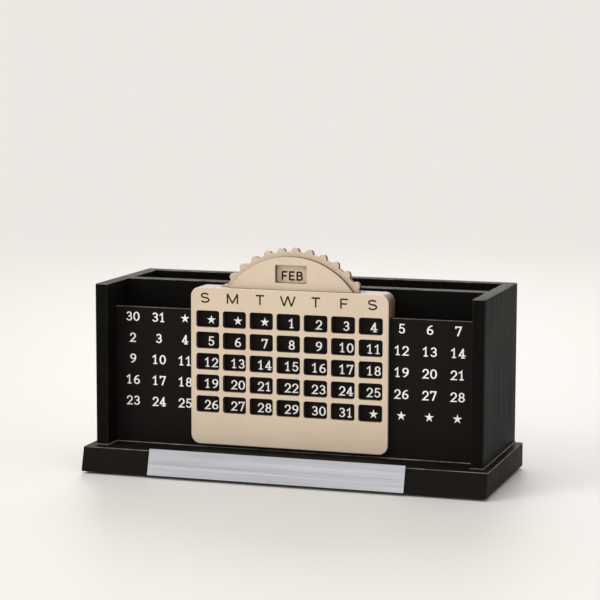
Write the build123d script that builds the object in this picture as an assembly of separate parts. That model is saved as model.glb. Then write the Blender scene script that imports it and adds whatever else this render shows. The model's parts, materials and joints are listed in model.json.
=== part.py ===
from build123d import *
import os
from math import atan2, cos, sin

# Wooden desk organiser with a sliding perpetual calendar.
#
# A black open-topped carcase stands on a plinth board whose front edge is bevelled and carries
# a blank metal nameplate.  A thin panel printed with thirteen columns of dates is housed
# upright between the side panels, ahead of the front wall.  A light wooden slider hangs over
# the top edge of that panel: its windows frame seven of the columns, it runs three columns
# either way, and between its layers it carries a toothed wheel with the twelve months.
#
# All sizes are in millimetres.  X runs to the right, Y to the back and Z up.  The origin lies on
# the desk, under the middle of the overall box.

# ------------------------------------------------------------------ driving dimensions
# plinth
base_side_margin = 4.4        # plinth beyond the outer faces of the side panels
base_thickness = 13.0
base_front_margin = 7.5       # top front edge ahead of the side panels
base_bevel = 3.8              # foot of the front face ahead of its top edge
pad_thickness = 1.2
pad_diameter = 12.0
pad_inset = 13.0              # pad centre to the ends, the foot of the front and the back
pad_ease = 0.3                # rounding round the foot of each pad

# carcase
body_width = 213.2
body_depth = 78.0
body_height = 87.3
side_thickness = 6.8
wall_thickness = 6.35         # front wall and back wall
front_wall_setback = 30.6     # front wall behind the front edges of the side panels
housing_depth = 2.0           # grooves and rebates in the side panels
housing_play = 0.1            # left free at the bottom of each groove
divider_thickness = 6.35
divider_x = 21.0
divider_drop = 8.0            # divider below the top of the walls
board_ease = 0.6              # rounding on the painted boards

# date panel
panel_setback = 12.2          # face of the date panel behind the side panels' front edges
panel_thickness = 3.0
panel_height = 74.2
panel_ease = 0.4

# calendar grid
day_columns = 7
day_rows = 5
spare_columns = 3             # columns left uncovered on each side of the slider
column_pitch = 15.0
row_pitch = 11.46
window_width = 13.0
window_height = 8.9
window_radius = 1.4
first_row_drop = 4.45         # middle of the first row of windows below the panel's top edge

# slider
slider_margin = 2.0           # plate beyond the outer columns
slider_rise = 12.4            # top of the slider above the date panel
slider_rest_x = -0.9          # where the slider's middle stands at rest, beside the panel's middle
slider_height = 84.4
slider_radius = 5.0
front_plate_thickness = 3.0
rear_plate_thickness = 3.0
panel_play = 0.3              # slider to date panel, each face
bridge_play = 0.2             # slider to the panel's top edge
plate_chamfer = 0.35          # round the rim of the front plate

# month wheel
wheel_drop = 24.3             # wheel axis below the top of the slider
wheel_thickness = 3.0
wheel_play = 0.1              # wheel to the layers in front and behind
wheel_body_radius = 44.2
tooth_count = 36
tooth_radius = 2.1
tooth_phase = 2.0             # degrees, first tooth to the right of the top
tooth_root_fillet = 0.7
wheel_rim_gap = 0.8           # tooth tips to the spacers beside the wheel
hump_radius = 41.8            # arched top of the bridge, about the wheel's axis
month_window_width = 17.4
month_window_height = 9.5
month_window_x = 0.4          # middle of the month window beside the wheel's axis
month_window_rise = 32.6      # middle of the month window above the wheel's axis
month_window_radius = 0.5
spacer_inner_x = 22.0         # inner ends of the wheel spacers
spacer_foot = 12.0            # spacers' lower ends above the rear plate's lower edge

# wheel pivot: a binding post and its screw
post_diameter = 4.0
post_head_diameter = 9.0
post_head_thickness = 0.7
post_head_sink = 0.1          # head below the face of the wheel
post_head_play = 0.3          # head to the wall of its seat
pivot_play = 0.05             # radial
screw_diameter = 2.4
screw_head_diameter = 8.0
screw_head_thickness = 1.0
screw_head_ease = 0.3
screw_length = 5.0
screw_slot_width = 1.0
screw_slot_depth = 0.5

# nameplate and its adhesive
nameplate_left = -72.7
nameplate_right = 67.9
nameplate_thickness = 0.8
nameplate_rise = 0.8          # top edge above the plinth
nameplate_lift = 0.3          # bottom edge up the slope from the plinth's lower edge
nameplate_chamfer = 0.15
tape_thickness = 0.2
tape_inset = 1.0

# brads that pin the boards to the plinth from below
brad_diameter = 1.2
brad_head_diameter = 2.2
brad_head_thickness = 0.8
brad_bite = 9.0               # length in the board above the plinth
brad_play = 0.03
brad_end_inset = 20.0         # first and last brad of a row from the ends of the board
side_brad_count = 3           # under each side panel
wall_brad_count = 4           # under the front wall and the back wall

cut_past = 1.0                # how far a cut runs past the face that it opens

# ------------------------------------------------------------------ derived places
base_width = body_width + 2 * base_side_margin
bevel_angle = atan2(base_bevel, base_thickness)
slope = (sin(bevel_angle), cos(bevel_angle))        # up the bevelled face, in Y and Z
outward = (-cos(bevel_angle), sin(bevel_angle))     # out of the bevelled face, in Y and Z
plate_stack = tape_thickness + nameplate_thickness
nameplate_foot_y = nameplate_lift * slope[0] + plate_stack * outward[0]
base_foot_ahead = base_front_margin + base_bevel    # plinth's foot ahead of the side panels
overall_depth = body_depth + base_foot_ahead - nameplate_foot_y

body_back_y = overall_depth / 2
body_front_y = body_back_y - body_depth
base_top_front_y = body_front_y - base_front_margin
base_foot_y = base_top_front_y - base_bevel

base_top_z = pad_thickness + base_thickness
body_top_z = base_top_z + body_height
half_body = body_width / 2
half_inside = half_body - side_thickness
half_housed = half_inside + housing_depth - housing_play

front_wall_y = body_front_y + front_wall_setback
front_wall_back_y = front_wall_y + wall_thickness
back_wall_y = body_back_y - wall_thickness
divider_left = divider_x - divider_thickness / 2
divider_right = divider_x + divider_thickness / 2

panel_y = body_front_y + panel_setback
panel_back_y = panel_y + panel_thickness
panel_top_z = base_top_z + panel_height

half_slider = day_columns * column_pitch / 2 + slider_margin
slider_top_z = panel_top_z + slider_rise
slider_foot_z = slider_top_z - slider_height
slider_middle_z = (slider_top_z + slider_foot_z) / 2
bridge_y = panel_y - panel_play
front_plate_y = bridge_y - front_plate_thickness
wheel_layer_y = panel_back_y + panel_play
wheel_y = wheel_layer_y + wheel_play
wheel_back_y = wheel_y + wheel_thickness
rear_plate_y = wheel_back_y + wheel_play
slider_back_y = rear_plate_y + rear_plate_thickness
bridge_foot_z = panel_top_z + bridge_play
wheel_z = slider_top_z - wheel_drop
wheel_tip_radius = wheel_body_radius + tooth_radius
pivot_bore = post_diameter + 2 * pivot_play
post_head_y = wheel_y + post_head_sink
post_shoulder_y = post_head_y + post_head_thickness
month_window_z = wheel_z + month_window_rise


# ------------------------------------------------------------------ helpers
def block(x0, x1, y0, y1, z0, z1):
    """A box between two corners."""
    middle = Pos((x0 + x1) / 2, (y0 + y1) / 2, (z0 + z1) / 2)
    return middle * Box(x1 - x0, y1 - y0, z1 - z0)


def layer(outline, front_y, back_y):
    """An outline drawn in X and Z, made solid from front_y to back_y."""
    back_face = Plane(origin=(0, back_y, 0), x_dir=(1, 0, 0), z_dir=(0, -1, 0))
    return extrude(back_face * outline, back_y - front_y)


def rod(radius, height):
    """A cylinder that stands on the origin."""
    return Cylinder(radius, height, align=(Align.CENTER, Align.CENTER, Align.MIN))


def turned(x, z, diameter, front_y, back_y):
    """A cylinder along Y."""
    return layer(Pos(x, z) * Circle(diameter / 2), front_y, back_y)


def eased(board, edges, radius):
    """The board with those edges rounded, by less than a third of its thickness."""
    size = board.bounding_box().size
    return fillet(edges, min(radius, min(size.X, size.Y, size.Z) / 3))


def edges_at(board, axis, place, reach=0.01):
    """The board's edges that lie at one place along an axis."""
    return board.edges().filter_by_position(axis, place - reach, place + reach)


# ------------------------------------------------------------------ plinth
def evenly(first, last, count):
    """Places spread evenly from first to last."""
    return [first + (last - first) * i / (count - 1) for i in range(count)]


def brad_places():
    """X and Y of each brad: under the side panels, the front and back walls and the divider."""
    side_x = half_body - side_thickness / 2
    side_ys = evenly(body_front_y + brad_end_inset, body_back_y - brad_end_inset, side_brad_count)
    wall_xs = evenly(-half_inside + brad_end_inset, half_inside - brad_end_inset, wall_brad_count)
    wall_ys = (front_wall_y + wall_thickness / 2, back_wall_y + wall_thickness / 2)
    places = [(x, y) for x in (-side_x, side_x) for y in side_ys]
    places += [(x, y) for y in wall_ys for x in wall_xs]
    places.append((divider_x, (front_wall_back_y + back_wall_y) / 2))
    return places


def brad(x, y, play=0.0):
    """One brad, or the hole that it fills when play is given."""
    head_top = pad_thickness + brad_head_thickness + play
    shank_top = base_top_z + brad_bite + play
    head = rod(brad_head_diameter / 2 + play, head_top - pad_thickness)
    shank = rod(brad_diameter / 2 + play, shank_top - pad_thickness)
    return Pos(x, y, pad_thickness) * (head + shank)


def brad_holes():
    return [brad(x, y, brad_play) for x, y in brad_places()]


def make_base_board():
    profile = Polygon(
        (base_foot_y, pad_thickness),
        (body_back_y, pad_thickness),
        (body_back_y, base_top_z),
        (base_top_front_y, base_top_z),
        align=None,
    )
    board = extrude(Plane.YZ * profile, base_width / 2, both=True)
    board = eased(board, board.edges(), board_ease)
    return board - brad_holes()


def make_foot_pads():
    front_y = base_foot_y + pad_inset
    back_y = body_back_y - pad_inset
    reach = base_width / 2 - pad_inset
    places = {
        "front_left": (-reach, front_y),
        "front_right": (reach, front_y),
        "back_left": (-reach, back_y),
        "back_right": (reach, back_y),
    }
    pads = {}
    for name, (x, y) in places.items():
        pad = Pos(x, y, pad_thickness / 2) * Cylinder(pad_diameter / 2, pad_thickness)
        rim = edges_at(pad, Axis.Z, 0)
        pads[f"foot_pad_{name}"] = eased(pad, rim, pad_ease)
    return pads


def make_brads():
    return Compound(children=[brad(x, y) for x, y in brad_places()])


def on_bevel(along, out):
    """A point on or ahead of the plinth's bevelled face, as Y and Z."""
    y = base_foot_y + along * slope[0] + out * outward[0]
    z = pad_thickness + along * slope[1] + out * outward[1]
    return (y, z)


def bevel_sheet(x0, x1, along0, along1, out0, out1):
    """A flat sheet lying parallel to the bevelled face."""
    corners = ((along0, out0), (along0, out1), (along1, out1), (along1, out0))
    outline = Polygon(*(on_bevel(along, out) for along, out in corners), align=None)
    section = Pos(x0, 0, 0) * (Plane.YZ * outline)
    return extrude(section, x1 - x0, dir=(1, 0, 0))


bevel_length = base_thickness / slope[1]
nameplate_top_along = (base_thickness + nameplate_rise) / slope[1]


def make_nameplate():
    plate = bevel_sheet(
        nameplate_left, nameplate_right, nameplate_lift, nameplate_top_along, tape_thickness, plate_stack
    )
    front = plate.faces().sort_by(Axis.Y)[0]
    return chamfer(front.edges(), nameplate_chamfer)


def make_nameplate_tape():
    return bevel_sheet(
        nameplate_left + tape_inset,
        nameplate_right - tape_inset,
        nameplate_lift + tape_inset,
        bevel_length - tape_inset,
        0,
        tape_thickness,
    )


# ------------------------------------------------------------------ carcase
def make_side_panel(side):
    """The left panel for side -1, the right one for side 1."""
    panel = block(half_inside, half_body, body_front_y, body_back_y, base_top_z, body_top_z)
    panel = eased(panel, panel.edges(), board_ease)
    groove_x = half_inside + housing_depth
    inner_x = half_inside - cut_past
    foot_z = base_top_z - cut_past
    head_z = body_top_z + cut_past
    panel -= block(inner_x, groove_x, panel_y, panel_back_y, foot_z, panel_top_z)
    panel -= block(inner_x, groove_x, front_wall_y, front_wall_back_y, foot_z, head_z)
    panel -= block(inner_x, groove_x, back_wall_y, body_back_y + cut_past, foot_z, head_z)
    if side < 0:
        panel = mirror(panel, about=Plane.YZ)
    return panel - brad_holes()


def make_cross_wall(front_y):
    """The front or the back wall, housed in the side panels."""
    wall = block(-half_housed, half_housed, front_y, front_y + wall_thickness, base_top_z, body_top_z)
    top_edges = edges_at(wall, Axis.Z, body_top_z).filter_by(Axis.X)
    return eased(wall, top_edges, board_ease) - brad_holes()


def make_divider():
    top_z = body_top_z - divider_drop
    divider = block(divider_left, divider_right, front_wall_back_y, back_wall_y, base_top_z, top_z)
    top_edges = edges_at(divider, Axis.Z, top_z).filter_by(Axis.Y)
    return eased(divider, top_edges, board_ease) - brad_holes()


def make_date_panel():
    panel = block(-half_housed, half_housed, panel_y, panel_back_y, base_top_z, panel_top_z)
    top_edges = edges_at(panel, Axis.Z, panel_top_z).filter_by(Axis.X)
    return eased(panel, top_edges, panel_ease)


# ------------------------------------------------------------------ slider
def slider_outline():
    """The rounded rectangle that the slider's plates share."""
    return Pos(0, slider_middle_z) * RectangleRounded(2 * half_slider, slider_height, slider_radius)


def slider_strip(x0, x1, z0, z1):
    """What lies of the slider's outline between two widths and two heights."""
    window = Pos((x0 + x1) / 2, (z0 + z1) / 2) * Rectangle(x1 - x0, z1 - z0)
    return slider_outline() & window


def day_windows():
    cell = RectangleRounded(window_width, window_height, window_radius)
    windows = Sketch()
    for row in range(day_rows):
        z = panel_top_z - first_row_drop - row * row_pitch
        for column in range(day_columns):
            x = (column - (day_columns - 1) / 2) * column_pitch
            windows += Pos(x, z) * cell
    return windows


def make_slider_front_plate():
    plate = layer(slider_outline(), front_plate_y, bridge_y)
    plate = chamfer(edges_at(plate, Axis.Y, front_plate_y), plate_chamfer)
    return plate - layer(day_windows(), front_plate_y - cut_past, bridge_y + cut_past)


def make_slider_bridge():
    """The layer over the panel's top edge, arched in front of the wheel."""
    bar = slider_strip(-half_slider, half_slider, bridge_foot_z, slider_top_z)
    arch = Pos(0, wheel_z) * Circle(hump_radius)
    above = Rectangle(2 * hump_radius, hump_radius, align=(Align.CENTER, Align.MIN))
    window = RectangleRounded(month_window_width, month_window_height, month_window_radius)
    outline = bar + (arch & Pos(0, bridge_foot_z) * above) - Pos(month_window_x, month_window_z) * window
    return layer(outline, bridge_y, wheel_layer_y)


def make_wheel_spacer(side):
    """The filler beside the wheel, left for side -1 and right for side 1."""
    strip = slider_strip(spacer_inner_x, half_slider, slider_foot_z + spacer_foot, slider_top_z)
    outline = strip - Pos(0, wheel_z) * Circle(wheel_tip_radius + wheel_rim_gap)
    spacer = layer(outline, wheel_layer_y, rear_plate_y)
    return spacer if side > 0 else mirror(spacer, about=Plane.YZ)


def make_slider_rear_plate():
    plate = layer(slider_outline(), rear_plate_y, slider_back_y)
    return plate - turned(0, wheel_z, pivot_bore, rear_plate_y - cut_past, slider_back_y + cut_past)


# ------------------------------------------------------------------ month wheel and pivot
def wheel_outline():
    """A disc ringed with round teeth, their roots filled."""
    ring = Circle(wheel_body_radius)
    for tooth in PolarLocations(wheel_body_radius, tooth_count, 90 - tooth_phase):
        ring += tooth * Circle(tooth_radius)
    return fillet(ring.vertices(), tooth_root_fillet)


def make_month_wheel():
    wheel = layer(Pos(0, wheel_z) * wheel_outline(), wheel_y, wheel_back_y)
    seat_diameter = post_head_diameter + 2 * post_head_play
    seat_back_y = post_shoulder_y + post_head_sink
    wheel -= turned(0, wheel_z, seat_diameter, wheel_y - cut_past, seat_back_y)
    return wheel - turned(0, wheel_z, pivot_bore, wheel_y - cut_past, wheel_back_y + cut_past)


def make_pivot_post():
    post = turned(0, wheel_z, post_head_diameter, post_head_y, post_shoulder_y)
    post += turned(0, wheel_z, post_diameter, post_shoulder_y, slider_back_y)
    screw_bore = screw_diameter + 2 * pivot_play
    bore_front_y = slider_back_y - screw_length - pivot_play
    return post - turned(0, wheel_z, screw_bore, bore_front_y, slider_back_y + cut_past)


def make_pivot_screw():
    head_back_y = slider_back_y + screw_head_thickness
    screw = turned(0, wheel_z, screw_head_diameter, slider_back_y, head_back_y)
    rim = edges_at(screw, Axis.Y, head_back_y)
    screw = eased(screw, rim, screw_head_ease)
    screw += turned(0, wheel_z, screw_diameter, slider_back_y - screw_length, slider_back_y)
    slot = Pos(0, wheel_z) * Rectangle(2 * screw_head_diameter, screw_slot_width)
    return screw - layer(slot, head_back_y - screw_slot_depth, head_back_y + cut_past)


# ------------------------------------------------------------------ all the pieces
def all_pieces():
    pieces = {
        "base_board": make_base_board(),
        "left_side_panel": make_side_panel(-1),
        "right_side_panel": make_side_panel(1),
        "front_wall": make_cross_wall(front_wall_y),
        "back_wall": make_cross_wall(back_wall_y),
        "compartment_divider": make_divider(),
        "date_panel": make_date_panel(),
        "nameplate": make_nameplate(),
        "nameplate_tape": make_nameplate_tape(),
        "base_brads": make_brads(),
    }
    slider_pieces = {
        "slider_front_plate": make_slider_front_plate(),
        "slider_bridge": make_slider_bridge(),
        "wheel_spacer_left": make_wheel_spacer(-1),
        "wheel_spacer_right": make_wheel_spacer(1),
        "slider_rear_plate": make_slider_rear_plate(),
        "month_wheel": make_month_wheel(),
        "pivot_post": make_pivot_post(),
        "pivot_screw": make_pivot_screw(),
    }
    at_rest = Pos(slider_rest_x, 0, 0)
    pieces.update({name: at_rest * piece for name, piece in slider_pieces.items()})
    pieces.update(make_foot_pads())
    return pieces


os.makedirs("parts", exist_ok=True)
for name, piece in all_pieces().items():
    export_step(piece, f"parts/{name}.step")

slide_room = half_inside - half_slider - spare_columns * column_pitch
print("play left at each end of the slide:", round(slide_room, 3))
print("wheel axis at X, Y, Z:", slider_rest_x, round(wheel_y + wheel_thickness / 2, 3), round(wheel_z, 3))
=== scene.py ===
"""The visual model of a black desk organizer with a perpetual calendar, and its stage."""
import json
import math

import bmesh
import bpy
import numpy as np
from mathutils import Matrix, Vector


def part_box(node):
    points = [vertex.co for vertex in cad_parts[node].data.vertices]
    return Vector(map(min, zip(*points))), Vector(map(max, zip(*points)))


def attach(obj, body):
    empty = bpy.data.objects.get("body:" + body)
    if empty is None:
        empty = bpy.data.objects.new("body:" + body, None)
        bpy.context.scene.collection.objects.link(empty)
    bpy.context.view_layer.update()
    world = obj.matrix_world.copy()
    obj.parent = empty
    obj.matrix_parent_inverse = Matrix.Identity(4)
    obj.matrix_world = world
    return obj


bl_info = {
    "name": "Desk organizer with perpetual calendar",
    "version": (1, 0, 0),
    "blender": (4, 5, 0),
    "location": "View3D > Sidebar > Organizer",
    "description": "Finishes, printed dates, burnt lettering and the stage of the organizer",
    "category": "Object",
}

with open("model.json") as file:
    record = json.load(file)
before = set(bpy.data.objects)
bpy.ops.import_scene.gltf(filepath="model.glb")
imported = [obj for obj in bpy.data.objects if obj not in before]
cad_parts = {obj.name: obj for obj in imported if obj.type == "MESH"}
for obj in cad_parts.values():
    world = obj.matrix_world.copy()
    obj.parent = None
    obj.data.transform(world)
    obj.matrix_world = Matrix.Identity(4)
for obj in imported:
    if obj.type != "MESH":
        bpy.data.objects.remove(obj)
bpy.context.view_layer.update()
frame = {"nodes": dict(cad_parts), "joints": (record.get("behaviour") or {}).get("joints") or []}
MM = 0.001

MONTHS = ("JAN", "FEB", "MAR", "APR", "MAY", "JUN", "JUL", "AUG", "SEP", "OCT", "NOV", "DEC")
TOP_OF_WHEEL_MONTH = 1            # February stands at the top while the wheel is at rest
WEEKDAYS = "SMTWTFS"
WEEKDAY_WIDTHS = {"S": 0.98, "M": 1.22, "T": 0.87, "W": 1.58, "F": 0.80}    # in letter heights
COLUMNS, ROWS, DAYS = 13, 5, 31   # printed columns and rows, and days in the longest month
FIRST_DAY_COLUMN = 6              # column of the month's first day, counted from 0

BEAD_SINK = 0.2 * MM              # how far a bead of paint reaches into the boards that it joins
SCORCH_WIDTH = 0.4 * MM           # band of a pale face that is scorched beside a cut
LEVEL_GRAIN = (26, 900, 900)      # scale of the grain's streaks per metre, along X, Y and Z
UPRIGHT_GRAIN = (1100, 1100, 18)
PLINTH_LIFT = 1.9                 # brightness of the plinth's paint against the other boards'
CUT_LAYERS = (                    # layer, millimetres of its cut painted paler as a highlight along the front arris, char, layers like it
    ("slider_front_plate", 0.25, 0.55, ()),
    ("slider_bridge", 1.2, 0.3, ()),
    ("wheel_spacer_left", 0.25, 0.2, ("wheel_spacer_right",)),
    ("slider_rear_plate", 0.25, 0.2, ()),
)

FLOOR_RADIUS = 4.0                # metres
FLOOR_FADE = (0.35, 1.3)          # metres from the middle between which it turns into backdrop
SENSOR_WIDTH = 36.0               # mm, which the camera's lens is given for
LAMPS = (                         # name, place, height of its aim, side of its square, colour
    ("Key", (-1.05, -0.95, 0.95), 0.05, 0.8, (1.0, 0.98, 0.95)),
    ("Front", (0.25, -1.4, 0.3), 0.04, 0.6, (1.0, 0.99, 0.97)),
    ("Fill", (1.1, -0.7, 0.7), 0.05, 0.9, (0.97, 0.98, 1.0)),
    ("Back", (-0.35, 1.35, 0.8), 0.05, 0.8, (1.0, 1.0, 1.0)),
    ("Top", (-0.1, -0.15, 1.2), 0.05, 0.6, (1.0, 1.0, 1.0)),
)


def tone(red, green, blue):
    """The linear colour of a screen colour given as 0 to 255: the sRGB curve on each channel."""
    channels = np.array([red, green, blue]) / 255
    curve = np.where(channels <= 0.04045, channels / 12.92, ((channels + 0.055) / 1.055) ** 2.4)
    return tuple(float(c) for c in curve)


def colour(name, default, description):
    """A colour property with its name, its default and what it colours."""
    return bpy.props.FloatVectorProperty(name=name, default=default, description=description,
                                         subtype="COLOR", size=3, min=0.0, max=1.0)


def length(name, default_mm, description):
    """A length property, given here in millimetres and held in metres."""
    return bpy.props.FloatProperty(name=name, default=default_mm * MM, description=description,
                                   subtype="DISTANCE", unit="LENGTH", min=0.0, precision=5)


def angle(name, default_degrees, description):
    """An angle property, given here in degrees and held in radians."""
    return bpy.props.FloatProperty(name=name, default=math.radians(default_degrees),
                                   description=description, subtype="ANGLE")


def power(name, default, description):
    """A lamp's power, in watts."""
    return bpy.props.FloatProperty(name=name, default=default, description=description,
                                   unit="POWER", min=0.0)


# ---------------------------------------------------------------- sizes and colours

class LetteringSizes(bpy.types.PropertyGroup):
    """Sizes of the printed dates, the burnt letters and the beads of paint."""
    column_pitch: length("Column pitch", 15.0, "Middle to middle of two printed columns")
    row_pitch: length("Row pitch", 11.46, "Middle to middle of two printed rows")
    first_row_drop: length("First row drop", 5.35, "Top of the date panel to the middle of row one")
    digit_height: length("Digit height", 5.3, "Height of a printed digit")
    digit_stem: length("Digit stem", 0.84, "Width of a digit's upright lines")
    digit_hair: length("Digit hairline", 0.58, "Width of a digit's level lines")
    digit_advance: length("Digit advance", 4.15, "From one digit of a date to the next")
    star_radius: length("Star radius", 2.6, "Middle to the point of a printed star")
    ink_thickness: length("Ink thickness", 0.02, "How far the print stands proud of its board")
    weekday_pitch: length("Weekday pitch", 15.38, "Middle to middle of two weekday letters")
    weekday_shift: length("Weekday shift", 0.3, "How far the row of letters stands to the left")
    weekday_drop: length("Weekday drop", 5.6, "Top of the slider to the middle of the letters")
    weekday_height: length("Weekday height", 5.3, "Height of a weekday letter")
    month_height: length("Month height", 4.6, "Height of a month's letters")
    month_width: length("Month width", 11.5, "Width of a month's three letters")
    month_radius: length("Month radius", 31.4, "Wheel's axis to the middle of a month's name")
    weekday_stroke: length("Weekday stroke", 0.88, "Width of a weekday letter's burnt line")
    month_stroke: length("Month stroke", 0.95, "Width of a month name's burnt line")
    burn_height: length("Burn height", 0.012, "How far the scorched lines stand proud of the board")
    bead_radius: length("Paint bead", 0.7, "Hollow bead of paint along the boards on the plinth")


class FinishColours(bpy.types.PropertyGroup):
    """Colours of the organizer's finishes."""
    black_paint: colour("Black paint", tone(13, 11, 9), "Satin black paint of the boards")
    # painted highlight: the lighter colour of upper edges, standing in for light from above
    worn_paint: colour("Worn paint", tone(138, 134, 129), "Painted highlight on upper edges")
    panel_black: colour("Date panel", tone(14, 10, 8), "Matt black of the printed panel")
    ink_white: colour("White ink", tone(252, 250, 246), "Printed digits and stars")
    pale_board: colour("Pale board", tone(219, 201, 178), "Face of the laser-cut board")
    pale_board_deep: colour("Pale board, deep", tone(207, 186, 162), "Darker clouds in that board")
    # painted highlight on the slanted rim of the cut board
    pale_rim: colour("Pale rim", tone(230, 214, 194), "Painted highlight on the cut board's slanted rim")
    burnt_edge: colour("Burnt edge", tone(142, 101, 86), "Laser-browned edge of the board")
    burnt_dark: colour("Burnt edge, dark", tone(56, 33, 26), "Darkest streaks in that edge")
    burnt_line: colour("Burnt line", tone(34, 21, 15), "Weekday letters and month names")
    aluminium: colour("Aluminium", tone(180, 182, 189), "Brushed nameplate")
    steel: colour("Steel", tone(196, 195, 192), "Post, screw and brads")
    felt: colour("Felt", tone(38, 37, 38), "Foot pads")
    foam: colour("Foam tape", tone(232, 231, 226), "Tape behind the nameplate")


class StageSettings(bpy.types.PropertyGroup):
    """Floor, lamps and camera."""
    backdrop: colour("Backdrop", tone(236, 232, 227), "Floor and background")
    ambient: bpy.props.FloatProperty(name="Ambient light", default=0.5, min=0.0, max=4.0,
                                     subtype="FACTOR",
                                     description="Light that comes from all around")
    key_power: power("Key lamp", 8.4, "Large lamp, high at the front left")
    front_power: power("Front lamp", 3.4, "Low lamp in front, for the lower half")
    fill_power: power("Fill lamp", 1.3, "Large weak lamp at the front right")
    top_power: power("Top lamp", 3.0, "Lamp straight above, for bright upper edges")
    back_power: power("Back lamp", 8.0, "Lamp behind, so that the back shows as well")
    azimuth: angle("Azimuth", 17.676, "Camera's turn to the right of the front")
    elevation: angle("Elevation", 7.288, "Camera's rise over the floor")
    roll: angle("Roll", 0.169, "Camera's tilt about its own line of sight")
    distance: length("Distance", 1111.93, "Camera to the point that it looks at")
    target: bpy.props.FloatVectorProperty(name="Target", size=3, subtype="TRANSLATION",
                                          unit="LENGTH", description="Point the camera looks at",
                                          default=(0.008381, -0.032912, 0.097376), precision=5)
    lens: bpy.props.FloatProperty(name="Lens", default=128.566, unit="CAMERA", min=1.0,
                                  description="Focal length on a 36 mm wide sensor")


# ---------------------------------------------------------------- strokes of digits and letters

def arc(cx, cy, rx, ry, start, end, steps=14):
    """Points on an ellipse about (cx, cy), for t from start to end degrees: x = cx + rx cos t and
    y = cy + ry sin t."""
    turn = np.radians(np.linspace(start, end, steps))
    return np.stack([cx + rx * np.cos(turn), cy + ry * np.sin(turn)], axis=1)


def path(*parts):
    """One line of points through single points and runs of points, in order. A point that repeats
    the one before it is left out, because a run of no length has no direction."""
    line = np.concatenate([np.atleast_2d(np.asarray(part, float)) for part in parts])
    step = np.linalg.norm(np.diff(line, axis=0), axis=1)
    return line[np.concatenate([[True], step > 1e-6])]


def loop(cx, cy, rx, ry, steps=22):
    """A closed ellipse: the last point isn't the first one again."""
    return arc(cx, cy, rx, ry, 0, 360, steps + 1)[:-1]


LOW, TOP = 0.0825, 0.9175         # middle of the lowest and highest printed stroke, height 1
DIGIT_MIDDLE = 0.35               # a digit's upright middle line, in digit heights
BAR_STEP = 0.12                   # each further bar of a sign is higher by this share
LEAST_LEVEL = 0.35                # least 1 + n1 . n2 in a mitre, so that sharp corners stay short

DIGITS = {                        # digit: (open strokes, closed strokes)
    "0": ([], [loop(0.35, 0.5, 0.2675, 0.4175)]),
    "1": ([path((0.10, 0.74), (0.33, TOP), (0.33, LOW)), path((0.18, LOW), (0.48, LOW))], []),
    "2": ([path(arc(0.34, 0.66, 0.245, 0.2575, 170, -30), (0.10, LOW), (0.60, LOW))], []),
    "3": ([arc(0.33, 0.70, 0.21, 0.2175, 150, -90), arc(0.33, 0.30, 0.25, 0.2175, 90, -150)], []),
    "4": ([path((0.44, TOP), (0.07, 0.29)), path((0.07, 0.29), (0.63, 0.29)),
           path((0.44, TOP), (0.44, LOW)), path((0.31, LOW), (0.57, LOW))], []),
    "5": ([path((0.55, TOP), (0.18, TOP), (0.14, 0.53), arc(0.33, 0.34, 0.25, 0.2575, 125, -150))],
          []),
    "6": ([arc(0.55, 0.36, 0.4475, 0.5375, 95, 180)], [loop(0.35, 0.31, 0.2475, 0.2275)]),
    "7": ([path((0.09, TOP), (0.61, TOP), (0.30, LOW)), path((0.09, TOP), (0.09, 0.80))], []),
    "8": ([], [loop(0.35, 0.705, 0.20, 0.2125), loop(0.35, 0.2925, 0.245, 0.21)]),
}
# A 9 is a 6 after half a turn about its middle c: each point p becomes 2 c - p.
DIGITS["9"] = tuple([np.array([2 * DIGIT_MIDDLE, 1]) - p for p in lines] for lines in DIGITS["6"])

BAR, CAP = 0.062, 0.938           # middle of a letter's lowest and highest level stroke; its left
                                  # upright stands at BAR too
STEM = path((BAR, 0), (BAR, 1))
BOWL = path((BAR, CAP), arc(0.36, 0.70, 0.23, 0.238, 90, -90), (BAR, 0.462))

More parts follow.
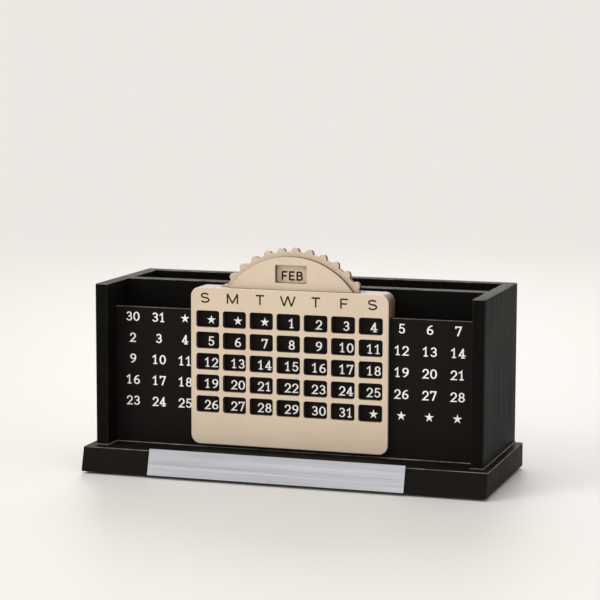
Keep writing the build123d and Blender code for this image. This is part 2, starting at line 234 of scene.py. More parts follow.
LETTERS = {                       # letter: (its width, its open strokes, its closed strokes)
    "A": (0.74, [path((0.03, 0), (0.37, 1)), path((0.37, 1), (0.71, 0)),
                 path((0.14, 0.32), (0.60, 0.32))], []),
    "B": (0.64, [STEM, path((BAR, CAP), arc(0.34, 0.732, 0.20, 0.206, 90, -90), (BAR, 0.526)),
                 path((BAR, 0.526), arc(0.36, 0.294, 0.22, 0.232, 90, -90), (BAR, BAR))], []),
    "C": (0.78, [arc(0.42, 0.5, 0.36, 0.438, 48, 312)], []),
    "D": (0.74, [STEM, path((BAR, CAP), arc(0.30, 0.5, 0.38, 0.438, 90, -90), (BAR, BAR))], []),
    "E": (0.60, [STEM, path((BAR, CAP), (0.58, CAP)), path((BAR, 0.51), (0.53, 0.51)),
                 path((BAR, BAR), (0.60, BAR))], []),
    "F": (0.58, [STEM, path((BAR, CAP), (0.58, CAP)), path((BAR, 0.48), (0.51, 0.48))], []),
    "G": (0.82, [path(arc(0.42, 0.5, 0.36, 0.438, 48, 330), (0.76, 0.44)),
                 path((0.46, 0.44), (0.82, 0.44))], []),
    "J": (0.46, [path((0.40, 1), (0.40, 0.27), arc(0.22, 0.27, 0.18, 0.208, 0, -175))], []),
    "L": (0.56, [STEM, path((BAR, BAR), (0.56, BAR))], []),
    "M": (0.86, [STEM, path((BAR, 0.98), (0.43, 0.04)), path((0.43, 0.04), (0.80, 0.98)),
                 path((0.80, 0), (0.80, 1))], []),
    "N": (0.74, [STEM, path((BAR, 0.98), (0.68, 0.02)), path((0.68, 0), (0.68, 1))], []),
    "O": (0.84, [], [loop(0.42, 0.5, 0.36, 0.438)]),
    "P": (0.63, [STEM, BOWL], []),
    "R": (0.66, [STEM, BOWL, path((0.34, 0.46), (0.63, 0))], []),
    "S": (0.66, [path(arc(0.33, 0.728, 0.255, 0.21, 22, 270),
                      arc(0.33, 0.29, 0.275, 0.228, 90, -158))], []),
    "T": (0.66, [path((0, CAP), (0.66, CAP)), path((0.33, CAP), (0.33, 0))], []),
    "U": (0.72, [path((BAR, 1), arc(0.36, 0.33, 0.298, 0.268, 180, 360), (0.658, 1))], []),
    "V": (0.70, [path((0.02, 1), (0.35, 0)), path((0.35, 0), (0.68, 1))], []),
    "W": (1.04, [path((0.02, 1), (0.27, 0)), path((0.27, 0), (0.52, 1)),
                 path((0.52, 1), (0.77, 0)), path((0.77, 0), (1.02, 1))], []),
    "Y": (0.68, [path((0.02, 1), (0.34, 0.44)), path((0.66, 1), (0.34, 0.44)),
                 path((0.34, 0.46), (0.34, 0))], []),
}


def across(points, closed):
    """Mitred side vector at each point of a line: m = (n1 + n2) / (1 + n1 . n2), where n1 and n2
    are the unit normals of the runs before and after the point, so both runs keep their width."""
    run = (np.roll(points, -1, axis=0) - points) if closed else np.diff(points, axis=0)
    run = run / np.linalg.norm(run, axis=1, keepdims=True)
    normal = np.stack([-run[:, 1], run[:, 0]], axis=1)
    if closed:
        before, after = np.roll(normal, 1, axis=0), normal
    else:
        before = np.concatenate([normal[:1], normal])
        after = np.concatenate([normal, normal[-1:]])
    level = 1 + np.sum(before * after, axis=1, keepdims=True)
    return (before + after) / np.maximum(level, LEAST_LEVEL)


def rounded(points, half, steps=5, least=0.04):
    """Adds a half-round end to both ends of a line: at angle t the end point moves outwards by
    half * sin t and the half width is half * cos t, but at least half * least. Gives the longer
    line and its half widths."""
    turn = np.linspace(0, math.pi / 2, steps)[1:, None]
    first = points[0] - points[1]
    last = points[-1] - points[-2]
    head = points[0] + first / np.linalg.norm(first) * half * np.sin(turn[::-1])
    tail = points[-1] + last / np.linalg.norm(last) * half * np.sin(turn)
    narrow = half * np.maximum(np.cos(turn[:, 0]), least)
    widths = np.concatenate([narrow[::-1], np.full(len(points), half), narrow])
    return np.concatenate([head, points, tail]), widths


def ribbon(points, half, low, high, closed=False, round_ends=False, hair=None):
    """A flat bar along a line of (u, v) points, as (u, v, height) corners and quads. Its section is
    the box from -half to +half across the line and from low to high above the face. With hair, the
    half width is sqrt((half ty)^2 + (hair tx)^2) where the line runs along (tx, ty), so that level
    lines are thinner than upright ones."""
    if round_ends and not closed:
        points, widths = rounded(points, half)
    else:
        widths = np.full(len(points), half)
    side = across(points, closed)
    if hair:
        run = side / np.linalg.norm(side, axis=1, keepdims=True)
        widths = widths * np.hypot(run[:, 0], hair / half * run[:, 1])
    side = side * widths[:, None]
    left, right = points + side, points - side
    n = len(points)
    corners = np.empty((n, 4, 3))
    corners[:, 0, :2], corners[:, 1, :2] = left, right
    corners[:, 2, :2], corners[:, 3, :2] = right, left
    corners[:, :2, 2], corners[:, 2:, 2] = high, low
    row = np.arange(n if closed else n - 1)
    nxt = (row + 1) % n
    k = np.arange(4)
    quads = np.stack([4 * row[:, None] + k, 4 * row[:, None] + (k + 1) % 4,
                      4 * nxt[:, None] + (k + 1) % 4, 4 * nxt[:, None] + k], axis=2).reshape(-1, 4)
    if not closed:
        ends = np.array([[3, 2, 1, 0], 4 * (n - 1) + k])
        quads = np.concatenate([quads, ends])
    return corners.reshape(-1, 3), quads


def star(radius, low, high, points=5, waist=0.38):
    """A flat star: on a grid of 2 * points angles its rim is radius at the tips and waist * radius
    between them, and each face is a fan of quads from the middle, over two rim steps each."""
    turn = np.pi / 2 + np.arange(2 * points) * np.pi / points
    reach = np.where(np.arange(2 * points) % 2 == 0, radius, waist * radius)
    rim = np.stack([reach * np.cos(turn), reach * np.sin(turn)], axis=1)
    flat = np.concatenate([[[0.0, 0.0]], rim])
    count = len(flat)
    corners = np.concatenate([np.c_[flat, np.full(count, high)], np.c_[flat, np.full(count, low)]])
    tip = 1 + 2 * np.arange(points)
    before, after = 1 + (tip - 2) % (2 * points), 1 + tip % (2 * points)
    middle = np.zeros(points, int)
    front = np.stack([middle, before, tip, after], axis=1)
    rim_now = 1 + np.arange(2 * points)
    rim_next = 1 + (np.arange(2 * points) + 1) % (2 * points)
    walls = np.stack([rim_now, rim_next, rim_next + count, rim_now + count], axis=1)
    return corners, np.concatenate([front, front[:, ::-1] + count, walls])


def glyph(strokes, loops, scale, half, low, high, round_ends, hair=None):
    """The bars of one digit or letter, scaled by (x, y). Each bar is a little higher than the last,
    so that no two faces lie in one plane where bars cross."""
    lines = [(s, False) for s in strokes] + [(s, True) for s in loops]
    bars = []
    for step, (line, closed) in enumerate(lines):
        top = high * (1 + BAR_STEP * step)
        bars.append(ribbon(line * np.asarray(scale), half, low, top, closed, round_ends, hair))
    return bars


def moved(bars, du, dv, turn=0.0):
    """Bars turned by an angle and then moved in their face: u' = u cos t - v sin t + du and
    v' = u sin t + v cos t + dv."""
    c, s = math.cos(turn), math.sin(turn)
    spin = np.array([[c, s, 0], [-s, c, 0], [0, 0, 1]])
    return [(corners @ spin + np.array([du, dv, 0]), quads) for corners, quads in bars]


def word(text, cap_height, half, width, low, high):
    """Letters side by side, their middles at (0, 0) together, stretched to one width."""
    gap = 0.20
    natural = sum(LETTERS[c][0] for c in text) + gap * (len(text) - 1)
    stretch = width / natural
    bars, left = [], -width / 2
    for c in text:
        own, strokes, loops = LETTERS[c]
        bars += moved(glyph(strokes, loops, (stretch, cap_height), half, low, high, False),
                      left, -cap_height / 2)
        left += (own + gap) * stretch
    return bars


def number(text, height, half, hair, advance, low, high):
    """Digits side by side with their middles at (0, 0) together."""
    bars = []
    for place, c in enumerate(text):
        strokes, loops = DIGITS[c]
        middle = advance * (place - (len(text) - 1) / 2)
        bars += moved(glyph(strokes, loops, (height, height), half, low, high, True, hair),
                      middle - DIGIT_MIDDLE * height, -height / 2)
    return bars


# ---------------------------------------------------------------- pieces

def linked(name, mesh, made):
    """Puts a finished mesh and its material into the scene, as an object at the origin."""
    mesh.materials.append(made)
    obj = bpy.data.objects.new(name, mesh)
    bpy.context.scene.collection.objects.link(obj)
    return obj


def shells(name, verts, faces, made, body):
    """A piece of closed shells that rides on a body. Its faces are turned outwards."""
    mesh = bpy.data.meshes.new(name)
    mesh.from_pydata(verts.tolist(), [], faces)
    bm = bmesh.new()
    bm.from_mesh(mesh)
    bmesh.ops.recalc_face_normals(bm, faces=bm.faces)
    bm.to_mesh(mesh)
    bm.free()
    obj = linked(name, mesh, made)
    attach(obj, body)


def lettering(name, bars, face_y, made, body):
    """One piece from many bars that lie on a face looking along -Y: (u, v, h) becomes
    (u, face_y - h, v)."""
    starts = np.cumsum([0] + [len(corners) for corners, _ in bars])
    corners = np.concatenate([c for c, _ in bars])
    quads = np.concatenate([q + start for (_, q), start in zip(bars, starts)])
    verts = np.stack([corners[:, 0], face_y - corners[:, 2], corners[:, 1]], axis=1)
    shells(name, verts, quads.tolist(), made, body)


def bead(name, line, radius, base_z, made, body):
    """A hollow bead along a line of (x, y) points on a level face, on the line's left. Its section
    runs round the quarter arc (r - r sin t, r - r cos t) from the level face up the wall, and back
    through a corner that is sunk into both."""
    turn = np.linspace(0, math.pi / 2, 5)
    quarter = np.stack([radius - radius * np.sin(turn), radius - radius * np.cos(turn)], axis=1)
    corner = [[-BEAD_SINK, radius], [-BEAD_SINK, -BEAD_SINK], [radius, -BEAD_SINK]]
    section = np.concatenate([quarter, corner])
    side = across(line, False)
    n, k = len(line), len(section)
    verts = np.empty((n, k, 3))
    verts[:, :, :2] = line[:, None, :] + side[:, None, :] * section[None, :, :1]
    verts[:, :, 2] = base_z + section[None, :, 1]
    row, step = np.arange(n - 1)[:, None] * k, np.arange(k)
    quads = np.stack([row + step, row + (step + 1) % k, row + k + (step + 1) % k, row + k + step],
                     axis=2).reshape(-1, 4)
    ends = [step.tolist(), ((n - 1) * k + step).tolist()]
    shells(name, verts.reshape(-1, 3), quads.tolist() + ends, made, body)


# ---------------------------------------------------------------- materials

class Nodes:
    """A node tree that is written in order: each call adds one node and joins up its inputs."""

    def __init__(self, tree):
        self.tree = tree
        self.count = 0

    def add(self, kind, inputs=None, **settings):
        """A node of one kind, with settings, and inputs given as numbers or as other sockets."""
        node = self.tree.nodes.new(kind)
        node.location = (220 * (self.count // 3), -260 * (self.count % 3))
        self.count += 1
        for key, value in settings.items():
            setattr(node, key, value)
        for key, value in (inputs or {}).items():
            self.put(node.inputs[key], value)
        return node

    def put(self, socket, value):
        """Links an input to another node's socket, or sets its own number or colour."""
        if isinstance(value, bpy.types.NodeSocket):
            self.tree.links.new(value, socket)
        else:
            socket.default_value = value

    def math(self, operation, a, b=0.0):
        """One step of arithmetic on two numbers."""
        return self.add("ShaderNodeMath", {0: a, 1: b}, operation=operation).outputs[0]

    def times(self, a, b):
        """The product of two numbers."""
        return self.math("MULTIPLY", a, b)

    def span(self, value, low, high, to_low=0.0, to_high=1.0, smooth=True):
        """Value from low..high brought to to_low..to_high."""
        kind = "SMOOTHSTEP" if smooth else "LINEAR"
        return self.add("ShaderNodeMapRange", {"Value": value, "From Min": low, "From Max": high,
                                               "To Min": to_low, "To Max": to_high},
                        interpolation_type=kind).outputs[0]

    def mix(self, factor, a, b):
        """Colour a at factor 0 and colour b at factor 1; they are the node's inputs 6 and 7."""
        return self.add("ShaderNodeMix", {0: factor, 6: a, 7: b}, data_type="RGBA").outputs[2]

    def component(self, vector, axis):
        """A vector's X, Y or Z."""
        return self.add("ShaderNodeSeparateXYZ", {"Vector": vector}).outputs[axis]

    def noise(self, vector, scale, detail=4.0, roughness=0.5):
        """Fractal noise on a vector."""
        return self.add("ShaderNodeTexNoise", {"Vector": vector, "Scale": scale, "Detail": detail,
                                               "Roughness": roughness}).outputs[0]


def rgba(rgb, light=1.0):
    """A colour with full alpha, its channels times light."""
    return (*(c * light for c in rgb), 1.0)


def group(name, output, build, *inputs):
    """A shader node group that is made once. Its inputs are Coordinates and the (name, kind,
    default) rows given here, and build gives the socket of its one output."""
    tree = bpy.data.node_groups.get(name)
    if tree:
        return tree
    tree = bpy.data.node_groups.new(name, "ShaderNodeTree")
    for label, kind, default in (("Coordinates", "Vector", (0, 0, 0)), *inputs):
        socket = tree.interface.new_socket(label, in_out="INPUT", socket_type="NodeSocket" + kind)
        socket.default_value = default
    tree.interface.new_socket(output, in_out="OUTPUT", socket_type="NodeSocketFloat")
    nodes = Nodes(tree)
    given = nodes.add("NodeGroupInput").outputs
    nodes.add("NodeGroupOutput", {output: build(nodes, given["Coordinates"], given)})
    return tree


def streaks_group():
    """Fine streaks along one axis: noise on coordinates that are stretched by Scale (per metre)."""
    def build(nodes, at, given):
        spread = nodes.add("ShaderNodeMapping", {"Vector": at, "Scale": given["Scale"]}).outputs[0]
        fine = nodes.noise(spread, 1.0, 6.0, 0.62)
        coarse = nodes.noise(spread, 0.23, 3.0)
        both = nodes.math("ADD", nodes.times(fine, 0.6), nodes.times(coarse, 0.4))
        return nodes.span(both, 0.36, 0.64)
    return group("Streaks", "Streak", build, ("Scale", "Vector", (1, 1, 1)))


def rubbed_edge_group():
    """Painted highlight on rounded upper edges, a lighter colour standing in for light from above:
    with n the true normal, its tilt out of the square, 1 - max(|nx|, |ny|, |nz|), is above 0 on an
    edge's rounding alone, and n rises on the upper ones. Noise makes the painted highlight uneven."""
    def build(nodes, at, given):
        plain = nodes.add("ShaderNodeNewGeometry").outputs["True Normal"]
        sides = nodes.add("ShaderNodeVectorMath", {0: plain}, operation="ABSOLUTE").outputs[0]
        x, y, z = nodes.add("ShaderNodeSeparateXYZ", {"Vector": sides}).outputs
        most = nodes.math("MAXIMUM", nodes.math("MAXIMUM", x, y), z)
        tilt = nodes.span(nodes.math("SUBTRACT", 1.0, most), 0.05, 0.10)
        upper = nodes.span(nodes.component(plain, "Z"), 0.3, 0.4, 0.06, 1.0)
        patchy = nodes.span(nodes.noise(at, 120.0, 5.0, 0.65), 0.3, 0.7, 0.3, 1)
        return nodes.times(nodes.times(tilt, patchy), upper)
    return group("Rubbed edge", "Mask", build)


def scorched_rim_group():
    """A face's band beside a cut: 1 - n . b, with n the true normal and b the normal of an edge
    rounded by Radius, made uneven by noise."""
    def build(nodes, at, given):
        soft = nodes.add("ShaderNodeBevel", {"Radius": given["Radius"]}, samples=6).outputs[0]
        plain = nodes.add("ShaderNodeNewGeometry").outputs["True Normal"]
        level = nodes.add("ShaderNodeVectorMath", {0: soft, 1: plain},
                          operation="DOT_PRODUCT").outputs["Value"]
        near = nodes.span(nodes.math("SUBTRACT", 1.0, level), 0.01, 0.16)
        patchy = nodes.span(nodes.noise(at, 260.0, 5.0, 0.65), 0.3, 0.7, 0.5, 1)
        return nodes.times(near, patchy)
    return group("Scorched rim", "Mask", build, ("Radius", "Float", MM))


def handling_group():
    """Slow changes of sheen, as handling leaves them: noise at Size (per metre)."""
    def build(nodes, at, given):
        return nodes.span(nodes.noise(at, given["Size"], 3.0), 0.3, 0.7)
    return group("Handling", "Cloud", build, ("Size", "Float", 24.0))


def placed(nodes, tree, at, **inputs):
    """One use of a shared group, with its own values: gives the group's output."""
    return nodes.add("ShaderNodeGroup", {"Coordinates": at, **inputs}, node_tree=tree).outputs[0]


def material(name):
    """A new material, its nodes, its Principled BSDF and the piece's own coordinates, in metres."""
    made = bpy.data.materials.new(name)
    made.use_nodes = True
    made.node_tree.nodes.clear()
    nodes = Nodes(made.node_tree)
    shader = nodes.add("ShaderNodeBsdfPrincipled")
    nodes.add("ShaderNodeOutputMaterial", {"Surface": shader.outputs[0]})
    return made, nodes, shader, nodes.add("ShaderNodeTexCoord").outputs["Object"]


def settle(nodes, shader, **links):
    """Sets or links the shader's inputs; a word's underscores stand for spaces."""
    for name, value in links.items():
        nodes.put(shader.inputs[name.replace("_", " ")], value)


def bump(nodes, height, strength, distance_mm):
    """A bump from a height of 0 to 1, its full height given in millimetres."""
    return nodes.add("ShaderNodeBump", {"Height": height, "Strength": strength,
                                        "Distance": distance_mm * MM}).outputs[0]


def painted_board(name, colours, grain, lift=1.0):
    """Satin black paint on board: streaks of the grain show through as sheen and a fine bump, and
    upper edges get a painted highlight, a lighter colour. grain is the streaks' scale per metre,
    and lift brightens the paint."""
    made, nodes, shader, at = material(name)
    streak = placed(nodes, streaks_group(), at, Scale=grain)
    # painted highlight on upper edges: its mask here, and its lighter colour mixed in below
    highlight_mask = placed(nodes, rubbed_edge_group(), at)
    cloud = placed(nodes, handling_group(), at, Size=18.0)
    base = nodes.mix(nodes.times(streak, 0.35), rgba(colours.black_paint, lift),
                     rgba(colours.black_paint, 1.7 * lift))
    base = nodes.mix(highlight_mask, base, rgba(colours.worn_paint))
    rough = nodes.math("ADD", nodes.span(streak, 0, 1, 0.46, 0.54), nodes.times(cloud, 0.06))
    settle(nodes, shader, Base_Color=base, Roughness=rough, Specular_IOR_Level=0.04,
           Normal=bump(nodes, streak, 0.12, 0.02))
    return made


def panel_board(name, colours):
    """Matt black printed panel: very fine tooth, hardly any grain, soft clouds of sheen, and a
    painted highlight on its upper edges.
    """
    made, nodes, shader, at = material(name)
    tooth = nodes.noise(at, 2600.0, 3.0, 0.6)
    # painted highlight on the panel's upper edges: its mask here, and its lighter colour below
    highlight_mask = placed(nodes, rubbed_edge_group(), at)
    cloud = placed(nodes, handling_group(), at, Size=20.0)
    base = nodes.mix(nodes.times(cloud, 0.35), rgba(colours.panel_black),
                     rgba(colours.panel_black, 1.5))
    base = nodes.mix(highlight_mask, base, rgba(colours.worn_paint))
    settle(nodes, shader, Base_Color=base, Roughness=nodes.span(cloud, 0, 1, 0.5, 0.6),
           Specular_IOR_Level=0.1, Normal=bump(nodes, tooth, 0.3, 0.02))
    return made


def cut_board(name, colours, node, arris=0.25, char=0.3):
    """Fine pale board cut by laser. Faces (normal along Y) are pale with soft clouds, short fibres
    and specks, and faintly scorched beside a cut; the slanted rim gets a painted highlight; cut
    sides are browned, with streaks across the cut and darkest next to both faces, where
    t = (y - front) / (back - front) is near 0 or 1. The first arris millimetres of the cut are
    painted paler as a highlight, and char is the share by which the whole cut is darker."""
    front, back = (corner.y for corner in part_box(node))
    made, nodes, shader, at = material(name)
    cloud = placed(nodes, handling_group(), at, Size=26.0)
    fibre = placed(nodes, streaks_group(), at, Scale=(900, 900, 420))
    specks = nodes.span(nodes.noise(at, 2100.0, 2.0, 0.5), 0.64, 0.74)
    pale = nodes.mix(nodes.times(cloud, 0.45), rgba(colours.pale_board),
                     rgba(colours.pale_board_deep))
    pale = nodes.mix(nodes.times(fibre, 0.16), pale, rgba(colours.pale_board_deep))
    pale = nodes.mix(nodes.times(specks, 0.25), pale, rgba(colours.burnt_edge))
    normal = nodes.add("ShaderNodeNewGeometry").outputs["True Normal"]
    facing = nodes.math("ABSOLUTE", nodes.component(normal, "Y"))
    striae = placed(nodes, streaks_group(), at, Scale=(1500, 60, 1500))
    depth = nodes.component(at, "Y")
    off_middle = nodes.math("ABSOLUTE", nodes.span(depth, front, back, -1.0, 1.0, smooth=False))
    burnt = nodes.mix(nodes.span(striae, 0, 1, char, 0.4 + 0.6 * char, smooth=False),
                      rgba(colours.burnt_edge), rgba(colours.burnt_dark))
    burnt = nodes.mix(nodes.span(off_middle, 0.5, 0.95), burnt, rgba(colours.burnt_dark))
    # painted highlight along the cut's front arris: its first arris millimetres are painted paler
    arris_highlight = nodes.span(depth, front + 0.6 * arris * MM, front + arris * MM)
    burnt = nodes.mix(arris_highlight, nodes.mix(0.4, rgba(colours.pale_board), burnt), burnt)
    scorch = placed(nodes, scorched_rim_group(), at, Radius=SCORCH_WIDTH)
    pale = nodes.mix(nodes.times(scorch, 0.5), pale, rgba(colours.burnt_edge))
    # painted highlight: the slanted rim is painted lighter
    rim = nodes.mix(0.35, rgba(colours.pale_rim), pale)
    sides = nodes.mix(nodes.span(facing, 0.40, 0.55), burnt, rim)
    base = nodes.mix(nodes.span(facing, 0.80, 0.93), sides, pale)
    rough = nodes.span(facing, 0.3, 0.6, 0.42, 0.5)
    height = nodes.math("ADD", nodes.times(fibre, 0.5),
                        nodes.times(striae, nodes.span(facing, 0.3, 0.6, 0.5, 0.0)))
    settle(nodes, shader, Base_Color=base, Roughness=rough, Specular_IOR_Level=0.4,
           Normal=bump(nodes, height, 0.35, 0.04))
    return made


def burnt_line(name, colours):
    """Scorched line: dark brown with slightly lighter flecks of ash."""
    made, nodes, shader, at = material(name)
    flecks = nodes.span(nodes.noise(at, 2400.0, 3.0, 0.6), 0.4, 0.75)
    base = nodes.mix(nodes.times(flecks, 0.2), rgba(colours.burnt_line),
                     rgba(colours.burnt_edge))
    settle(nodes, shader, Base_Color=base, Roughness=0.75, Specular_IOR_Level=0.2,
           Normal=bump(nodes, flecks, 0.4, 0.02))
    return made


def white_ink(name, colours):
    """Screen-printed white: slightly uneven cover, a little glossier than the panel."""
    made, nodes, shader, at = material(name)
    cover = nodes.span(nodes.noise(at, 1500.0, 3.0, 0.6), 0.3, 0.7)
    base = nodes.mix(nodes.times(cover, 0.2), rgba(colours.ink_white),
                     rgba(colours.ink_white, 0.82))
    settle(nodes, shader, Base_Color=base, Roughness=0.5, Specular_IOR_Level=0.35,
           Normal=bump(nodes, cover, 0.3, 0.01))
    return made


def brushed_aluminium(name, colours):
    """Aluminium brushed along X: long fine streaks in colour, roughness and bump."""
    made, nodes, shader, at = material(name)
    hair = placed(nodes, streaks_group(), at, Scale=(28, 2600, 2600))
    band = placed(nodes, streaks_group(), at, Scale=(11, 420, 420))
    both = nodes.math("ADD", nodes.times(hair, 0.6), nodes.times(band, 0.4))
    base = nodes.mix(both, rgba(colours.aluminium, 0.74), rgba(colours.aluminium))
    settle(nodes, shader, Base_Color=base, Metallic=1.0,
           Roughness=nodes.span(both, 0, 1, 0.36, 0.5), Normal=bump(nodes, both, 0.5, 0.02))
    return made


def turned_steel(name, colours):
    """Plain steel: fine scratches with no one direction, and slightly uneven polish."""
    made, nodes, shader, at = material(name)
    scratch = nodes.noise(at, 3000.0, 4.0, 0.65)
    base = nodes.mix(scratch, rgba(colours.steel, 0.8), rgba(colours.steel))
    rough = nodes.span(scratch, 0.3, 0.7, 0.26, 0.4)
    settle(nodes, shader, Base_Color=base, Metallic=1.0, Roughness=rough,
           Normal=bump(nodes, scratch, 0.2, 0.01))
    return made


def pressed_felt(name, colours):
    """Pressed felt: dark, very rough, with a tangle of short fibres as bump and sheen."""
    made, nodes, shader, at = material(name)
    tangle = nodes.noise(at, 2400.0, 6.0, 0.75)
    base = nodes.mix(nodes.span(tangle, 0.35, 0.7), rgba(colours.felt, 0.6),
                     rgba(colours.felt, 1.8))
    settle(nodes, shader, Base_Color=base, Roughness=0.95, Specular_IOR_Level=0.1,
           Sheen_Weight=0.4, Normal=bump(nodes, tangle, 0.8, 0.15))
    return made


def foam_tape(name, colours):
    """Foam tape: off-white with small closed cells."""
    made, nodes, shader, at = material(name)
    cells = nodes.add("ShaderNodeTexVoronoi", {"Vector": at, "Scale": 2800.0}).outputs["Distance"]
    base = nodes.mix(cells, rgba(colours.foam, 0.75), rgba(colours.foam))
    settle(nodes, shader, Base_Color=base, Roughness=0.8, Normal=bump(nodes, cells, 0.5, 0.05))
    return made


def dress(made, *nodes):
    """Gives CAD nodes a material through their objects' material slots."""
    for node in nodes:
        obj = frame["nodes"][node]
        if obj.material_slots:
            for place in obj.material_slots:
                place.material = made
        else:
            obj.data.materials.append(made)


# ---------------------------------------------------------------- operators

class ORGANIZER_OT_paint_boards(bpy.types.Operator):
    """Paints the plinth, side panels, walls and divider satin black, with beads where they meet."""
    bl_idname = "organizer.paint_boards"
    bl_label = "Paint the black boards"

    def execute(self, context):
        colours = context.scene.organizer_finish
        dress(painted_board("Black paint, plinth", colours, LEVEL_GRAIN, PLINTH_LIFT), "base_board")
        dress(painted_board("Black paint, walls", colours, LEVEL_GRAIN), "front_wall", "back_wall")
        upright = painted_board("Black paint, grain upright", colours, UPRIGHT_GRAIN)
        dress(upright, "left_side_panel", "right_side_panel", "compartment_divider")
        # Round the left panel, along the foot of the date panel and round the right panel, which
        # mirrors the left one. Taken backwards, the line has the open side on its left.
        low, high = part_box("right_side_panel")
        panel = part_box("date_panel")[0].y
        outline = [(-high.x, high.y), (-high.x, low.y), (-low.x, low.y), (-low.x, panel),
                   (low.x, panel), (low.x, low.y), (high.x, low.y), (high.x, high.y)]
        # the beads take the upright paint, so their sloping faces carry its painted highlight
        bead("paint_beads", np.array(outline)[::-1], context.scene.organizer_lettering.bead_radius,
             low.z, upright, "root")
        return {"FINISHED"}


class ORGANIZER_OT_print_dates(bpy.types.Operator):
    """Prints the dates and stars on the matt black date panel."""
    bl_idname = "organizer.print_dates"
    bl_label = "Print the date panel"

    def execute(self, context):
        sizes, colours = context.scene.organizer_lettering, context.scene.organizer_finish
        dress(panel_board("Matt black panel", colours), "date_panel")
        low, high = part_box("date_panel")
        week = len(WEEKDAYS)
        bars = []
        for row in range(ROWS):
            for column in range(COLUMNS):
                # The places before the first day hold what the sheet's last places would hold.
                day = (week * row + column - FIRST_DAY_COLUMN) % (week * ROWS) + 1
                if day <= DAYS:
                    shape = number(str(day), sizes.digit_height, sizes.digit_stem / 2,
                                   sizes.digit_hair / 2, sizes.digit_advance,
                                   -sizes.ink_thickness, sizes.ink_thickness)
                else:
                    shape = [star(sizes.star_radius, -sizes.ink_thickness, sizes.ink_thickness)]
                u = (column - (COLUMNS - 1) / 2) * sizes.column_pitch
                v = high.z - sizes.first_row_drop - row * sizes.row_pitch
                bars += moved(shape, u, v)
        lettering("printed_dates", bars, low.y, white_ink("White ink", colours), "root")
        return {"FINISHED"}


class ORGANIZER_OT_cut_slider(bpy.types.Operator):
    """Finishes the slider's laser-cut layers and burns the weekday letters into its face."""
    bl_idname = "organizer.cut_slider"
    bl_label = "Finish the slider"

    def execute(self, context):
        sizes, colours = context.scene.organizer_lettering, context.scene.organizer_finish
        for layer, arris, char, others in CUT_LAYERS:
            dress(cut_board("Pale board, " + layer, colours, layer, arris, char), layer, *others)
        low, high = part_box("slider_front_plate")
        middle = (low.x + high.x) / 2 - sizes.weekday_shift
        bars = []
        for place, letter in enumerate(WEEKDAYS):
            shape = word(letter, sizes.weekday_height, sizes.weekday_stroke / 2,
                         WEEKDAY_WIDTHS[letter] * sizes.weekday_height, -sizes.burn_height,
                         sizes.burn_height)
            u = middle + (place - (len(WEEKDAYS) - 1) / 2) * sizes.weekday_pitch
            bars += moved(shape, u, high.z - sizes.weekday_drop)
        lettering("weekday_letters", bars, low.y, burnt_line("Burnt line", colours), "slider")
        return {"FINISHED"}


class ORGANIZER_OT_cut_wheel(bpy.types.Operator):
    """Finishes the toothed month wheel and burns the twelve names into its front."""
    bl_idname = "organizer.cut_wheel"
    bl_label = "Finish the month wheel"

    def execute(self, context):
        sizes, colours = context.scene.organizer_lettering, context.scene.organizer_finish
        dress(cut_board("Pale board, wheel", colours, "month_wheel"), "month_wheel")
        axis = Vector(next(j for j in frame["joints"] if j["type"] == "hinge")["pos_m"])
        bars = []
        for place, name in enumerate(MONTHS):
            turn = -2 * math.pi / len(MONTHS) * (place - TOP_OF_WHEEL_MONTH)
            shape = word(name, sizes.month_height, sizes.month_stroke / 2, sizes.month_width,
                         -sizes.burn_height, sizes.burn_height)
            bars += moved(shape, axis.x - sizes.month_radius * math.sin(turn),
                          axis.z + sizes.month_radius * math.cos(turn), turn)
        lettering("month_names", bars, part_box("month_wheel")[0].y,
                  burnt_line("Burnt name", colours), "month_wheel")
        return {"FINISHED"}


class ORGANIZER_OT_fit_nameplate(bpy.types.Operator):
    """Finishes the blank brushed nameplate and its tape."""
    bl_idname = "organizer.fit_nameplate"
    bl_label = "Finish the nameplate"

    def execute(self, context):
        colours = context.scene.organizer_finish
        dress(brushed_aluminium("Brushed aluminium", colours), "nameplate")
        dress(foam_tape("Foam tape", colours), "nameplate_tape")
        return {"FINISHED"}


class ORGANIZER_OT_fit_hardware(bpy.types.Operator):
    """Finishes the binding post, its screw, the brads and the felt pads."""
    bl_idname = "organizer.fit_hardware"
    bl_label = "Finish the hardware and pads"

    def execute(self, context):
        colours = context.scene.organizer_finish
        dress(turned_steel("Plain steel", colours), "pivot_post", "pivot_screw", "base_brads")
        dress(pressed_felt("Pressed felt", colours),
              *(n for n in frame["nodes"] if n.startswith("foot_pad")))
        return {"FINISHED"}


def background_rays(nodes):
    """1 for camera, glossy and transmission rays, 0 for the others."""
    rays = nodes.add("ShaderNodeLightPath").outputs
    seen = nodes.math("MAXIMUM", rays["Is Camera Ray"], rays["Is Glossy Ray"])
    return nodes.math("MAXIMUM", seen, rays["Is Transmission Ray"])


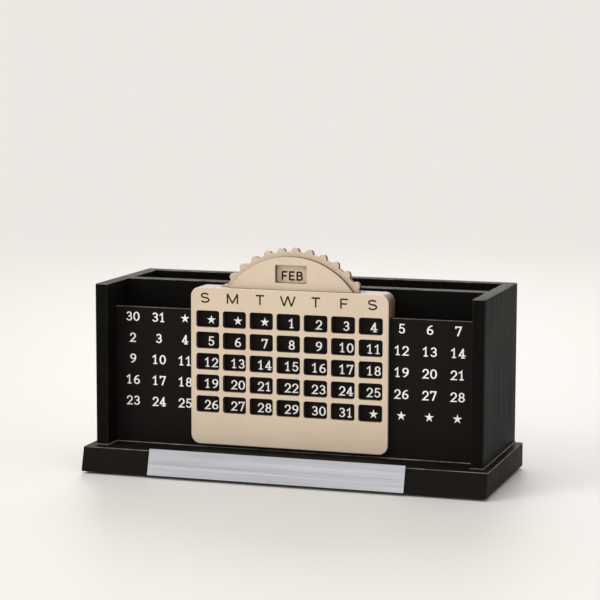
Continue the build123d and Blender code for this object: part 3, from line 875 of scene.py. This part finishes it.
class ORGANIZER_OT_set_stage(bpy.types.Operator):
    """Lays the pale floor, hangs the lamps and sets up the camera."""
    bl_idname = "organizer.set_stage"
    bl_label = "Set the stage"

    def floor(self, settings):
        """A disc on a grid of rings and angles: (r cos t, r sin t, 0), where r is the square of an
        even step from 0 to 1 times the disc's radius, so that the middle has the closest rings."""
        rings, steps = 24, 96
        r = np.linspace(0, 1, rings) ** 2 * FLOOR_RADIUS
        t = np.arange(steps) * 2 * np.pi / steps
        x, y = r[1:, None] * np.cos(t), r[1:, None] * np.sin(t)
        verts = np.concatenate([[[0, 0, 0]], np.stack([x, y, 0 * x], axis=2).reshape(-1, 3)])
        ring = np.arange(rings - 2)[:, None] * steps + 1
        now, nxt = np.arange(steps), (np.arange(steps) + 1) % steps
        quads = np.stack([ring + now, ring + steps + now, ring + steps + nxt, ring + nxt],
                         axis=2).reshape(-1, 4)
        fan = np.stack([0 * now, 1 + now, 1 + nxt], axis=1)
        mesh = bpy.data.meshes.new("floor")
        mesh.from_pydata(verts.tolist(), [], fan.tolist() + quads.tolist())
        made, nodes, shader, at = material("Pale floor")
        reach = nodes.add("ShaderNodeVectorMath", {0: at}, operation="LENGTH").outputs["Value"]
        fade = nodes.times(nodes.span(reach, *FLOOR_FADE), background_rays(nodes))
        haze = nodes.add("ShaderNodeEmission", {"Color": rgba(settings.backdrop)}).outputs[0]
        cloud = nodes.noise(at, 30.0, 4.0, 0.6)
        base = nodes.mix(nodes.times(cloud, 0.06), rgba(settings.backdrop),
                         rgba(settings.backdrop, 0.8))
        settle(nodes, shader, Base_Color=base, Roughness=0.55, Specular_IOR_Level=0.3)
        both = nodes.add("ShaderNodeMixShader", {0: fade, 1: shader.outputs[0], 2: haze})
        output = next(n for n in made.node_tree.nodes if n.type == "OUTPUT_MATERIAL")
        made.node_tree.links.new(both.outputs[0], output.inputs["Surface"])
        linked("floor", mesh, made)

    def world(self, settings):
        """Background colour for camera and mirror rays, softer light for all the others."""
        world = bpy.data.worlds.new("Studio")
        world.use_nodes = True
        world.node_tree.nodes.clear()
        nodes = Nodes(world.node_tree)
        seen = nodes.add("ShaderNodeBackground", {"Color": rgba(settings.backdrop)}).outputs[0]
        light = nodes.add("ShaderNodeBackground", {"Color": (1, 1, 1, 1),
                                                   "Strength": settings.ambient}).outputs[0]
        both = nodes.add("ShaderNodeMixShader", {0: background_rays(nodes), 1: light, 2: seen})
        nodes.add("ShaderNodeOutputWorld", {"Surface": both.outputs[0]})
        bpy.context.scene.world = world

    def camera(self, settings):
        """Camera axes: right (cos a, sin a, 0), back (sin a cos e, -cos a cos e, sin e) and
        up = back x right, turned by the roll; it stands at target + distance * back."""
        a, e, roll = settings.azimuth, settings.elevation, settings.roll
        right = Vector((math.cos(a), math.sin(a), 0))
        back = Vector((math.sin(a) * math.cos(e), -math.cos(a) * math.cos(e), math.sin(e)))
        up = back.cross(right)
        x = right * math.cos(roll) + up * math.sin(roll)
        y = up * math.cos(roll) - right * math.sin(roll)
        data = bpy.data.cameras.new("Camera")
        data.lens, data.sensor_width = settings.lens, SENSOR_WIDTH
        data.clip_start, data.clip_end = 0.01, 30.0
        obj = bpy.data.objects.new("Camera", data)
        obj.matrix_world = (Matrix.Translation(Vector(settings.target) + back * settings.distance)
                            @ Matrix((x, y, back)).transposed().to_4x4())
        bpy.context.scene.collection.objects.link(obj)
        bpy.context.scene.camera = obj

    def lamps(self, settings):
        """Square area lamps, each turned to a point over the middle of the floor."""
        for name, place, aim_height, side, tint in LAMPS:
            data = bpy.data.lights.new(name, "AREA")
            data.size, data.color = side, tint
            data.energy = getattr(settings, name.lower() + "_power")
            obj = bpy.data.objects.new(name, data)
            obj.location = place
            obj.rotation_mode = "QUATERNION"
            back = Vector(place) - Vector((0, 0, aim_height))
            obj.rotation_quaternion = back.to_track_quat("Z", "Y")
            bpy.context.scene.collection.objects.link(obj)

    def execute(self, context):
        settings = context.scene.organizer_stage
        self.floor(settings)
        self.world(settings)
        self.camera(settings)
        self.lamps(settings)
        context.scene.view_settings.view_transform = "Standard"
        return {"FINISHED"}


class ORGANIZER_PT_sidebar(bpy.types.Panel):
    """Lists the organizer's operators, sizes and colours."""
    bl_idname = "ORGANIZER_PT_sidebar"
    bl_label = "Desk organizer"
    bl_space_type = "VIEW_3D"
    bl_region_type = "UI"
    bl_category = "Organizer"

    def draw(self, context):
        for step in STEPS:
            self.layout.operator(step.bl_idname)
        for holder in PROPERTIES:
            box = self.layout.box()
            held = getattr(context.scene, holder)
            for key in held.__annotations__:
                box.prop(held, key)


STEPS = (ORGANIZER_OT_paint_boards, ORGANIZER_OT_print_dates, ORGANIZER_OT_cut_slider,
         ORGANIZER_OT_cut_wheel, ORGANIZER_OT_fit_nameplate, ORGANIZER_OT_fit_hardware,
         ORGANIZER_OT_set_stage)
PROPERTIES = {"organizer_lettering": LetteringSizes, "organizer_finish": FinishColours,
              "organizer_stage": StageSettings}
CLASSES = (*PROPERTIES.values(), *STEPS, ORGANIZER_PT_sidebar)


def register():
    """Registers the classes and hangs the property groups on the scene."""
    for kind in CLASSES:
        bpy.utils.register_class(kind)
    for holder, kind in PROPERTIES.items():
        setattr(bpy.types.Scene, holder, bpy.props.PointerProperty(type=kind))


def unregister():
    """Takes the property groups and the classes away again."""
    for holder in PROPERTIES:
        delattr(bpy.types.Scene, holder)
    for kind in reversed(CLASSES):
        bpy.utils.unregister_class(kind)


def main():
    register()
    for step in STEPS:
        module, name = step.bl_idname.split(".")
        getattr(getattr(bpy.ops, module), name)()


if __name__ == "__main__":
    main()
